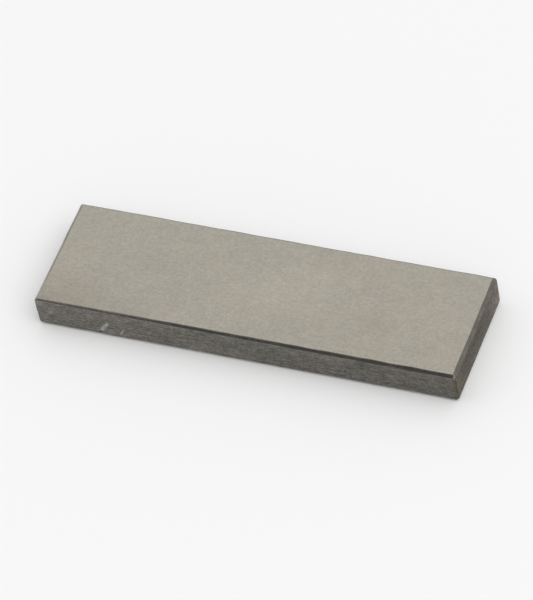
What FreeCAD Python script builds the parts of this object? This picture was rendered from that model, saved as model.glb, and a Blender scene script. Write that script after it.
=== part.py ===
import FreeCAD, Part
import os

# A rectangular gauge block: a hardened steel bar whose two large faces are lapped flat,
# parallel and a known distance apart. It lies on one of these measuring faces.
#
# Frame: millimetres, with the origin at the centre of the lower measuring face.
# +X runs along the long sides, +Y along the short sides, and +Z from the lower
# measuring face to the upper one, the direction in which the block is used.

# Driving dimensions
NOMINAL_SIZE = 2.5  # distance between the measuring faces, the length that the block stands for
FACE_LENGTH = 30.0  # standard cross-section of a block of up to 10 mm, long side
FACE_WIDTH = 9.0  # the same, short side
EDGE_BREAK = 0.2  # leg of the 45 degree chamfer that takes the burr off all twelve edges


def ground_bar():
    """The bar with sharp edges, as it comes from the grinder, centred over the origin."""
    lowest_corner = FreeCAD.Vector(-FACE_LENGTH / 2, -FACE_WIDTH / 2, 0)
    return Part.makeBox(FACE_LENGTH, FACE_WIDTH, NOMINAL_SIZE, lowest_corner)


def gauge_block():
    """The finished block. The breaks take nothing off the middle of any face, and
    where three of them meet, they leave a small three-cornered facet."""
    bar = ground_bar()
    return bar.makeChamfer(EDGE_BREAK, bar.Edges).Solids[0]


os.makedirs("parts", exist_ok=True)
gauge_block().exportStep("parts/gauge_block.step")
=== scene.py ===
import math

import bmesh
import bpy
from mathutils import Matrix, Vector, noise


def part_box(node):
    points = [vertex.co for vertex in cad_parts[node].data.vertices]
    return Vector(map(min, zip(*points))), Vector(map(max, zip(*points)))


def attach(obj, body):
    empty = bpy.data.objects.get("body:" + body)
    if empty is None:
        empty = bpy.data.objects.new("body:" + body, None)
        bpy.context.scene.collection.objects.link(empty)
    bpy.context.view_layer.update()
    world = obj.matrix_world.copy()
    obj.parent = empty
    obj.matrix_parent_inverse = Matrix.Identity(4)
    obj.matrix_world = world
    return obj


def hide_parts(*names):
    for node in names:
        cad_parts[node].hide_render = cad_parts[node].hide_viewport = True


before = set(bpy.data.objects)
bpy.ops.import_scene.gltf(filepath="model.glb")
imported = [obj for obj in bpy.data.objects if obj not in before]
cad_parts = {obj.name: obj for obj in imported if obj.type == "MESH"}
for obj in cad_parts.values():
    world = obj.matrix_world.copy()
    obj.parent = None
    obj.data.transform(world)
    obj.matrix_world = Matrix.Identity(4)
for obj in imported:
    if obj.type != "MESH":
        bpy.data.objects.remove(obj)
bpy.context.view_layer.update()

# A steel gauge block on a pale floor. The CAD solid gives its size and its edge break.
# The piece built here adds what a stoned edge and years of handling add, and the finishes, into
# which some light and shade are painted.

MM = 0.001
NODE = "gauge_block"
LOWEST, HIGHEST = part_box(NODE)
MIDDLE = (LOWEST + HIGHEST) / 2
HALF = (HIGHEST - LOWEST) / 2


def edge_break():
    """Leg of the CAD solid's chamfer: how far its upper measuring face stops short of its end."""
    level = HIGHEST.z - 0.001 * MM
    face_end = max(v.co.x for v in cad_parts[NODE].data.vertices if v.co.z > level)
    return HIGHEST.x - face_end


BREAK = edge_break()

# Shape ---------------------------------------------------------------------------------

RIDGE_ROUNDING = 0.03 * MM  # reach of the soft bend where a chamfer meets a face
UPRIGHT_SHARE = 0.6  # the four upright corners are broken less than the other edges
CORNER_SHARE = 2 / 3  # of its three legs added up, where the facet at each corner lies
WANDER = 0.16  # share by which a hand-stoned chamfer gets wider and narrower
WANDER_LENGTH = 1.4 * MM  # distance over which it does so
FRONT_SHARE = (0.55, 0.95)  # of the front upper chamfer at its left and right ends
FRONT_FADE = 8  # how sharply that share fades to 1 away from the front face
LINE_SPACING = 0.25 * MM  # of the mesh lines on the flat faces
RIDGE_LINES = (-1, -0.3, 0.4)  # mesh lines across a ridge, as shares of its rounding
NICK_SPACING = 0.035 * MM  # of the mesh lines round a nick
NICK_RAGGEDNESS = 0.5  # share by which a nick's outline wanders
NICK_RAGGED_LENGTH = 0.22 * MM  # distance over which it does so
NICK_REACH = 1.5  # how far from a nick it is felt, in its radii
BARING_DEPTH = 0.02 * MM  # a shallower nick bares less bright metal

# Nicks. Each runs from one point to another, given as distances from the left end, the
# front face and the lower face, and then has a radius and a depth, all in millimetres.
NICKS = [
    ((4.66, 0.0, 0.64), (5.12, 0.0, 1.24), 0.19, 0.030),
    ((5.45, 0.0, 0.50), (5.55, 0.0, 0.55), 0.10, 0.010),
    ((6.02, 0.0, 0.46), (6.30, 0.0, 0.98), 0.12, 0.012),
    ((1.70, 9.0, 2.42), (1.85, 9.0, 2.42), 0.14, 0.024),
    ((21.3, 9.0, 0.30), (21.6, 9.0, 0.42), 0.14, 0.022),
    ((12.6, 9.0, 1.35), (13.3, 9.0, 1.55), 0.10, 0.010),
    ((0.0, 3.1, 0.55), (0.0, 3.4, 0.80), 0.13, 0.018),
]


def nick_places():
    """(start, end, radius, depth) of each nick, in metres, measured from the block's middle."""
    for start, end, radius, depth in NICKS:
        yield Vector(start) * MM - HALF, Vector(end) * MM - HALF, radius * MM, depth * MM


def mesh_lines(axis):
    """Places of the mesh lines along an axis: close together at the edges and the nicks."""
    half = HALF[axis]
    flat = BREAK + RIDGE_ROUNDING
    ridges = (BREAK * UPRIGHT_SHARE, BREAK)
    near_edge = [0] + [ridge + RIDGE_ROUNDING * k for ridge in ridges for k in RIDGE_LINES]
    steps = round((half - flat) / LINE_SPACING)
    depths = near_edge + [flat + (half - flat) * k / steps for k in range(steps + 1)]
    lines = sorted({half - d for d in depths} | {d - half for d in depths})
    for start, end, radius, _ in nick_places():
        low, high = sorted((start[axis], end[axis]))
        for k in range(math.ceil((high - low + 2 * radius) / NICK_SPACING) + 1):
            place = low - radius + k * NICK_SPACING
            clear = min(abs(place - line) for line in lines)
            if abs(place) < half - flat and clear > NICK_SPACING / 3:
                lines.append(place)
    return sorted(lines)


def sharp_box():
    """A box with sharp edges, centred on the origin and cut along the mesh lines."""
    bm = bmesh.new()
    bmesh.ops.create_cube(bm, size=2.0)
    bmesh.ops.scale(bm, vec=HALF, verts=bm.verts)
    for axis in range(3):
        across = Vector((0, 0, 0))
        across[axis] = 1
        for place in mesh_lines(axis)[1:-1]:
            whole = bm.verts[:] + bm.edges[:] + bm.faces[:]
            bmesh.ops.bisect_plane(bm, geom=whole, plane_co=across * place, plane_no=across)
    return bm


def ramp(depth):
    """0 up to -RIDGE_ROUNDING, depth from RIDGE_ROUNDING on, and a smooth bend between."""
    if abs(depth) < RIDGE_ROUNDING:
        return (depth + RIDGE_ROUNDING) ** 2 / (4 * RIDGE_ROUNDING)
    return max(0.0, depth)


def break_share(point):
    """Leg of the chamfers near a point, as a share of the CAD solid's."""
    share = 1.0
    if point.y < 0 and point.z > 0:
        left, right = FRONT_SHARE
        along = (point.x / HALF.x + 1) / 2
        share += (left + (right - left) * along - 1) * (point.y / HALF.y) ** FRONT_FADE
    return share + WANDER * noise.noise(point / WANDER_LENGTH)


def broken(point):
    """Where a point of the sharp box lies once its edges are broken."""
    share = break_share(point)
    depths = [h - abs(c) for h, c in zip(HALF, point)]
    for k, depth in enumerate(depths):
        fade = min(1, max(0, 2 - depth / BREAK))
        depths[k] *= 1 + (share - 1) * fade
    leg = BREAK * share
    for i, j, width in ((0, 1, leg * UPRIGHT_SHARE), (0, 2, leg), (1, 2, leg)):
        cut = ramp(width - depths[i] - depths[j]) / 2
        depths[i] += cut
        depths[j] += cut
    corner_cut = ramp(leg * (2 + UPRIGHT_SHARE) * CORNER_SHARE - sum(depths)) / 3
    return Vector(math.copysign(h - d - corner_cut, c) for h, d, c in zip(HALF, depths, point))


LAPPED, SIDE, END, EDGE = range(4)  # the material slots
FLAT = 0.99999  # least share of a flat face's normal along its axis
UPRIGHT = 0.1  # most share of an upright corner's normal along Z


def finish_of(face):
    """(material slot, whether shaded smooth) of a face: flat faces in pairs, then edges."""
    for slot, axis in ((LAPPED, 2), (SIDE, 1), (END, 0)):
        if abs(face.normal[axis]) > FLAT:
            return slot, False
    return EDGE if abs(face.normal.z) > UPRIGHT else SIDE, True


def press_nicks(bm, bare):
    """Presses the nicks in, and marks in the layer where they bare bright metal."""
    for start, end, radius, depth in nick_places():
        run = end - start
        for v in bm.verts:
            along = (v.co - start).dot(run) / run.length_squared if run.length else 0
            away = (v.co - start - run * min(1, max(0, along))).length
            if away > radius * NICK_REACH:
                continue
            away *= 1 + NICK_RAGGEDNESS * noise.noise(v.co / NICK_RAGGED_LENGTH)
            share = max(0, 1 - (away / radius) ** 2)
            v.co -= v.normal * depth * share
            v[bare] = max(v[bare], share * min(1, depth / BARING_DEPTH))
            for face in v.link_faces:
                face.smooth = True


def build_block():
    bm = sharp_box()
    for v in bm.verts:
        v.co = broken(v.co)
    bm.normal_update()
    for face in bm.faces:
        face.material_index, face.smooth = finish_of(face)
    press_nicks(bm, bm.verts.layers.float.new("bare_metal"))
    bmesh.ops.translate(bm, vec=MIDDLE, verts=bm.verts)
    mesh = bpy.data.meshes.new("steel_block")
    bm.to_mesh(mesh)
    bm.free()
    block = bpy.data.objects.new("steel_block", mesh)
    bpy.context.scene.collection.objects.link(block)
    return block


# Finishes ------------------------------------------------------------------------------

BARE_METAL = (0.40, 0.38, 0.345)  # what shows in the nicks
GRAZING_TINT = (0.45, 0.43, 0.40, 1)  # keeps the ground faces dull when seen at a slant


class Steel:
    """A steel surface in the making: its node tree, with a short call for each thing that
    the four finishes share. Lengths are in millimetres on the block."""

    def __init__(self, name):
        self.material = bpy.data.materials.new(name)
        self.material.use_nodes = True
        self.tree = self.material.node_tree
        self.shader = self.tree.nodes["Principled BSDF"]
        self.shader.inputs["Metallic"].default_value = 1.0
        self.place = self.node("ShaderNodeTexCoord").outputs["Object"]

    def node(self, kind, inputs=None, **settings):
        """A new node. Each input is a plain value or another node's output."""
        made = self.tree.nodes.new(kind)
        for name, value in settings.items():
            setattr(made, name, value)
        for name, value in (inputs or {}).items():
            self.put(value, made.inputs[name])
        return made

    def put(self, value, socket):
        if isinstance(value, bpy.types.NodeSocket):
            self.tree.links.new(value, socket)
        else:
            socket.default_value = value

    def grain(self, size, detail=2.0, turn=0.0, start=0.0):
        """Noise between about 0.3 and 0.7, its grains size long along X, Y and Z, turned
        about Z by some degrees. start picks another stretch of the same noise."""
        placed = self.node(
            "ShaderNodeMapping",
            {
                "Vector": self.place,
                "Location": (start, start, start),
                "Rotation": (0, 0, math.radians(turn)),
                "Scale": [s * MM for s in size],
            },
            vector_type="TEXTURE",
        )
        inputs = {"Vector": placed.outputs["Vector"], "Scale": 1.0, "Detail": detail}
        return self.node("ShaderNodeTexNoise", inputs).outputs["Fac"]

    def spread(self, value, low, high, start=0.3, end=0.7):
        """value stretched from start..end to low..high, and held there beyond."""
        inputs = {
            "Value": value,
            "From Min": start,
            "From Max": end,
            "To Min": low,
            "To Max": high,
        }
        return self.node("ShaderNodeMapRange", inputs).outputs["Result"]

    def maths(self, operation, a, b):
        made = self.node("ShaderNodeMath", operation=operation)
        self.put(a, made.inputs[0])
        self.put(b, made.inputs[1])
        return made.outputs["Value"]

    def product(self, *values):
        result = values[0]
        for value in values[1:]:
            result = self.maths("MULTIPLY", result, value)
        return result

    def total(self, *values):
        result = values[0]
        for value in values[1:]:
            result = self.maths("ADD", result, value)
        return result

    def blend(self, share, first, second):
        """From the first colour at share 0 to the second at 1. Each is a colour or an output."""
        mix = self.node("ShaderNodeMix", data_type="RGBA")
        sockets = {s.identifier: s for s in mix.inputs}
        for name, value in (
            ("Factor_Float", share),
            ("A_Color", first),
            ("B_Color", second),
        ):
            self.put(value if not isinstance(value, tuple) else (*value, 1), sockets[name])
        return next(s for s in mix.outputs if s.identifier == "Result_Color")

    def near(self, centre, reach):
        """1 at a place on the block, fading to 0 at its reach along X, Y and Z. The place is
        given as a nick's is."""
        placed = self.node(
            "ShaderNodeMapping",
            {
                "Vector": self.place,
                "Location": LOWEST + Vector(centre) * MM,
                "Scale": [r * MM for r in reach],
            },
            vector_type="TEXTURE",
        )
        inputs = {0: placed.outputs["Vector"]}
        away = self.node("ShaderNodeVectorMath", inputs, operation="LENGTH").outputs["Value"]
        return self.spread(away, 1, 0, 0, 1)

    def patches(self, places):
        """A factor for the brightness, from (centre, reach, change) of each patch."""
        return self.product(
            *(self.spread(self.near(*place), 1, 1 + change, 0, 1) for *place, change in places)
        )

    def stained(self, colour, places, ragged):
        """The colour with stains, from (centre, reach, stain colour). ragged is a grain."""
        for *place, stain in places:
            share = self.product(self.near(*place), self.spread(ragged, 0.6, 1.0))
            colour = self.blend(share, colour, stain)
        return colour

    def nicked(self, colour):
        """The colour, with bright bare metal in the nicks, ragged at its edges."""
        bare = self.node("ShaderNodeAttribute", attribute_name="bare_metal").outputs["Fac"]
        share = self.total(bare, self.spread(self.grain((0.06, 0.06, 0.06)), -0.3, 0.3))
        return self.blend(self.spread(share, 0, 1, 0.3, 0.9), colour, BARE_METAL)

    def finish(self, colour, brightness, roughness, height, depth):
        """Wires it up: a colour times a brightness, the roughness, and a bump whose height
        from 0 to 1 is depth millimetres."""
        scaled = self.node(
            "ShaderNodeVectorMath", {0: colour, "Scale": brightness}, operation="SCALE"
        )
        bump = self.node("ShaderNodeBump", {"Height": height, "Distance": depth * MM})
        self.put(scaled.outputs["Vector"], self.shader.inputs["Base Color"])
        self.put(roughness, self.shader.inputs["Roughness"])
        self.put(bump.outputs["Normal"], self.shader.inputs["Normal"])
        return self.material


# Soft patches of changed brightness, as (place, reach, change of brightness), and stains,
# as (place, reach, colour), in millimetres, with places as the nicks' are given. The
# stains are the steel's own colour; the patches are partly painted light and shade.
# Darker at the front left corner and near the back edge, and a painted sheen that is lighter
# round the middle.
TOP_PATCHES_AND_SHEEN = [
    ((0.5, 0.0, 2.5), (9.0, 3.2, 3.2), -0.18),
    ((17.0, 4.5, 2.5), (6.0, 2.8, 2.8), 0.05),
    ((18.5, 8.6, 2.5), (3.0, 1.6, 1.6), -0.06),
]
TOP_STAINS = [((23.4, 3.0, 2.5), (1.8, 1.2, 1.2), (0.425, 0.378, 0.315))]
# Painted light and shade on the front face: lighter at the left end and darker at the right, a
# painted reflection of the floor that is lighter towards the bottom, and painted shade that
# darkens the front right upright corner.
SIDE_PAINTED_SHADING = [
    ((0.0, 0.0, 0.6), (13.0, 5.0, 5.0), 0.13),
    ((29.0, 0.0, 1.2), (14.0, 5.0, 5.0), -0.13),
    ((15.0, 0.0, 0.2), (40.0, 2.0, 1.1), 0.12),
    ((30.0, 0.0, 1.2), (0.35, 0.35, 3.0), -0.45),
]
SIDE_STAINS = [((30.0, 0.0, 1.0), (0.5, 0.5, 3.0), (0.192, 0.166, 0.135))]
# Painted reflection and shade on the right end face: lighter towards the bottom, the front and
# the back, as the floor mirrored there, and darker between.
END_PAINTED_SHADING = [
    ((30.0, 9.0, 1.2), (2.0, 3.2, 3.2), 0.36),
    ((30.0, 4.5, 0.1), (2.0, 9.0, 1.5), 0.36),
    ((30.0, 0.4, 1.0), (2.0, 0.45, 1.4), 0.15),
    ((30.0, 1.6, 1.6), (2.0, 1.1, 1.1), -0.14),
    ((30.0, 4.6, 1.7), (2.0, 1.3, 1.3), -0.10),
]
END_STAINS = [((30.0, 8.4, 1.4), (2.0, 1.6, 1.6), (0.221, 0.186, 0.178))]


def lapped_steel():
    """The measuring faces: nearly a mirror, hazed by the finest of lapping marks."""
    s = Steel("lapped_steel")
    warm, cool = (0.457, 0.423, 0.356), (0.445, 0.421, 0.361)
    mottle = s.spread(s.grain((5, 3, 3), detail=1, start=3.1), 0, 1, 0.35, 0.65)
    colour = s.stained(s.blend(mottle, cool, warm), TOP_STAINS, s.grain((0.6, 0.6, 0.6)))
    # painted sheen: faint lighter and darker diagonal bands across the face
    painted_sheen_band = s.spread(s.grain((9, 4, 4), detail=1, turn=38, start=0.7), 0.98, 1.02)
    cloud = s.spread(s.grain((1.1, 0.8, 0.8), detail=3), 0.97, 1.03)
    fine = s.spread(s.grain((0.20, 0.16, 0.16), detail=2), 0.91, 1.09)
    hairs = [
        s.spread(s.grain(size, detail=1, turn=turn, start=turn), 0, 1, 0.60, 0.72)
        for size, turn in (((4, 0.03, 1), 12), ((3, 0.025, 1), -34), ((2.5, 0.03, 1), 71))
    ]
    scratched = s.total(*hairs)
    hair_light = s.spread(scratched, 1.0, 1.05, 0, 1)
    brightness = s.product(s.patches(TOP_PATCHES_AND_SHEEN), painted_sheen_band, cloud, fine, hair_light)
    roughness = s.total(
        s.spread(s.grain((2.2, 1.6, 1.6), detail=4), 0.17, 0.25), s.product(scratched, 0.04)
    )
    return s.finish(colour, brightness, roughness, scratched, -0.00006)


def ground_steel(name, lay, brown, grey, contrast, patches, stains):
    """The faces round the sides. Fine grinding marks run along the axis whose number is lay,
    and contrast is that of the speckle over them."""
    s = Steel(name)
    s.shader.inputs["Specular Tint"].default_value = GRAZING_TINT

    def marks(length, width, detail, start):
        return s.grain([length if k == lay else width for k in range(3)], detail, 0, start)

    colour = s.blend(s.spread(marks(3, 1.5, 2, 1.9), 0, 1, 0.35, 0.65), brown, grey)
    lines = marks(7.0, 0.09, 3, 0.0)
    dashes = marks(0.7, 0.12, 3, 5.2)
    speckle = s.grain((0.18, 0.18, 0.18), detail=3, start=2.2)
    pits = s.spread(s.grain((0.17, 0.17, 0.17), detail=1, start=7.7), 0.72, 1.0, 0.27, 0.36)
    cloud = s.spread(marks(2.4, 1.0, 2, 8.8), 0.92, 1.08)
    brightness = s.product(
        cloud,
        pits,
        s.spread(lines, 0.84, 1.16),
        s.spread(dashes, 0.74, 1.26),
        s.spread(speckle, 1 - contrast, 1 + contrast),
        s.patches(patches),
    )
    colour = s.nicked(s.stained(colour, stains, speckle))
    roughness = s.spread(dashes, 0.48, 0.34)
    height = s.total(s.product(dashes, 0.5), s.product(lines, 0.5))
    return s.finish(colour, brightness, roughness, height, 0.004)


def ground_side():
    # brown and grey are darker than the steel's own colour: partly the duller ground finish,
    # partly painted shade for the darker surroundings these faces mirror
    brown, grey = (0.189, 0.174, 0.158), (0.175, 0.172, 0.155)
    return ground_steel("ground_side", 0, brown, grey, 0.26, SIDE_PAINTED_SHADING, SIDE_STAINS)


def ground_end():
    # brown and grey are darker than the steel's own colour: partly the duller ground finish,
    # partly painted shade for the darker surroundings these faces mirror
    brown, grey = (0.196, 0.182, 0.164), (0.183, 0.181, 0.160)
    return ground_steel("ground_end", 1, brown, grey, 0.38, END_PAINTED_SHADING, END_STAINS)


def stoned_steel():
    """The broken edges: stoned by hand and smoother than the sides, with a painted reflection
    that makes them brighter towards the left end of the front.
    """
    s = Steel("broken_edge")
    # brown and grey are darker than the steel's own colour: partly the stoned finish, partly
    # painted shade for the darker surroundings these edges mirror
    brown, grey = (0.188, 0.170, 0.153), (0.175, 0.169, 0.155)
    colour = s.blend(s.grain((0.9, 0.9, 0.9), start=2.4), brown, grey)
    speckle = s.grain((0.09, 0.09, 0.09), detail=3)
    # painted reflection: the edges near the left front corner are made brighter
    painted_reflection = s.patches([((-1.0, 0.0, 2.5), (12.0, 3.0, 3.0), 0.8)])
    brightness = s.product(
        s.spread(speckle, 0.85, 1.15), s.spread(s.grain((0.7, 0.7, 0.7)), 0.85, 1.15), painted_reflection
    )
    colour = s.nicked(colour)
    roughness = s.spread(s.grain((0.3, 0.3, 0.3), detail=3), 0.16, 0.28)
    return s.finish(colour, brightness, roughness, speckle, 0.001)


block = build_block()
for material in (lapped_steel(), ground_side(), ground_end(), stoned_steel()):
    block.data.materials.append(material)
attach(block, "root")
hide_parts(NODE)

# Studio --------------------------------------------------------------------------------

FLOOR_GAP = 0.005 * MM  # keeps the floor from lying in the plane of the lower face
FLOOR_HALF = 1.2  # metres from its middle to each side
FLOOR_CORNERS = ((-1, -1), (1, -1), (1, 1), (-1, 1))
FLOOR_COLOUR = (0.945, 0.945, 0.945)

ROOM_LIGHT = 0.84  # the room all round the block
DARK_SIDE_LIGHT = 0.25  # the unlit part of the room beside the camera
DARK_SIDE = Vector((-0.31, -0.75, 0.585))  # towards its middle
DARK_SIDE_ANGLES = (9, 36)  # degrees from its middle: dark up to the first, faded by the second

KEY_PLACE = Vector((0.56, -0.33, 1.13))  # metres
KEY_WIDTH = 1.5  # metres
KEY_POWER = 5.6  # watts

VIEW_AZIMUTH = math.radians(28.19)  # from the front towards the right
VIEW_ELEVATION = math.radians(48.40)
VIEW_ROLL = math.radians(11.43)  # clockwise, so that the block leans to the left
VIEW_DISTANCE = 353.3 * MM
LENS = 316  # millimetres, for the block to fill the frame from that far


def link(name, data):
    made = bpy.data.objects.new(name, data)
    bpy.context.scene.collection.objects.link(made)
    return made


def add_floor():
    corners = [(x * FLOOR_HALF, y * FLOOR_HALF, 0) for x, y in FLOOR_CORNERS]
    mesh = bpy.data.meshes.new("floor")
    mesh.from_pydata(corners, [], [(0, 1, 2, 3)])
    material = bpy.data.materials.new("floor")
    material.use_nodes = True
    shader = material.node_tree.nodes["Principled BSDF"]
    shader.inputs["Base Color"].default_value = (*FLOOR_COLOUR, 1)
    shader.inputs["Roughness"].default_value = 1.0
    shader.inputs["Specular IOR Level"].default_value = 0.0
    mesh.materials.append(material)
    floor = link("floor", mesh)
    floor.location.z = LOWEST.z - FLOOR_GAP


def add_room():
    """Even light from all round, with one dark part for the front chamfer to mirror."""
    room = bpy.data.worlds.new("room")
    room.use_nodes = True
    bpy.context.scene.world = room
    nodes, links = room.node_tree.nodes, room.node_tree.links
    along = nodes.new("ShaderNodeVectorMath")
    along.operation = "DOT_PRODUCT"
    along.inputs[1].default_value = DARK_SIDE.normalized()
    links.new(nodes.new("ShaderNodeTexCoord").outputs["Generated"], along.inputs[0])
    light = nodes.new("ShaderNodeMapRange")
    light.interpolation_type = "SMOOTHSTEP"
    near, far = (math.cos(math.radians(a)) for a in DARK_SIDE_ANGLES)
    light.inputs["From Min"].default_value = far
    light.inputs["From Max"].default_value = near
    light.inputs["To Min"].default_value = ROOM_LIGHT
    light.inputs["To Max"].default_value = DARK_SIDE_LIGHT
    links.new(along.outputs["Value"], light.inputs["Value"])
    background = nodes["Background"]
    background.inputs["Color"].default_value = (1, 1, 1, 1)
    links.new(light.outputs["Result"], background.inputs["Strength"])


def add_key():
    """One large round softbox, high at the front right: the shadow falls behind the block."""
    lamp = bpy.data.lights.new("key", "AREA")
    lamp.shape = "DISK"
    lamp.size = KEY_WIDTH
    lamp.energy = KEY_POWER
    key = link("key", lamp)
    key.location = KEY_PLACE
    key.rotation_euler = (-KEY_PLACE).to_track_quat("-Z", "Y").to_euler()


def add_camera():
    back = Vector(
        (
            math.sin(VIEW_AZIMUTH) * math.cos(VIEW_ELEVATION),
            -math.cos(VIEW_AZIMUTH) * math.cos(VIEW_ELEVATION),
            math.sin(VIEW_ELEVATION),
        )
    )
    lens = bpy.data.cameras.new("camera")
    lens.lens = LENS
    lens.clip_start = 10 * MM
    camera = link("camera", lens)
    aim = (-back).to_track_quat("-Z", "Y").to_matrix()
    camera.rotation_euler = (aim @ Matrix.Rotation(-VIEW_ROLL, 3, "Z")).to_euler()
    camera.location = MIDDLE + back * VIEW_DISTANCE
    bpy.context.scene.camera = camera


add_floor()
add_room()
add_key()
add_camera()
bpy.context.scene.view_settings.view_transform = "Standard"
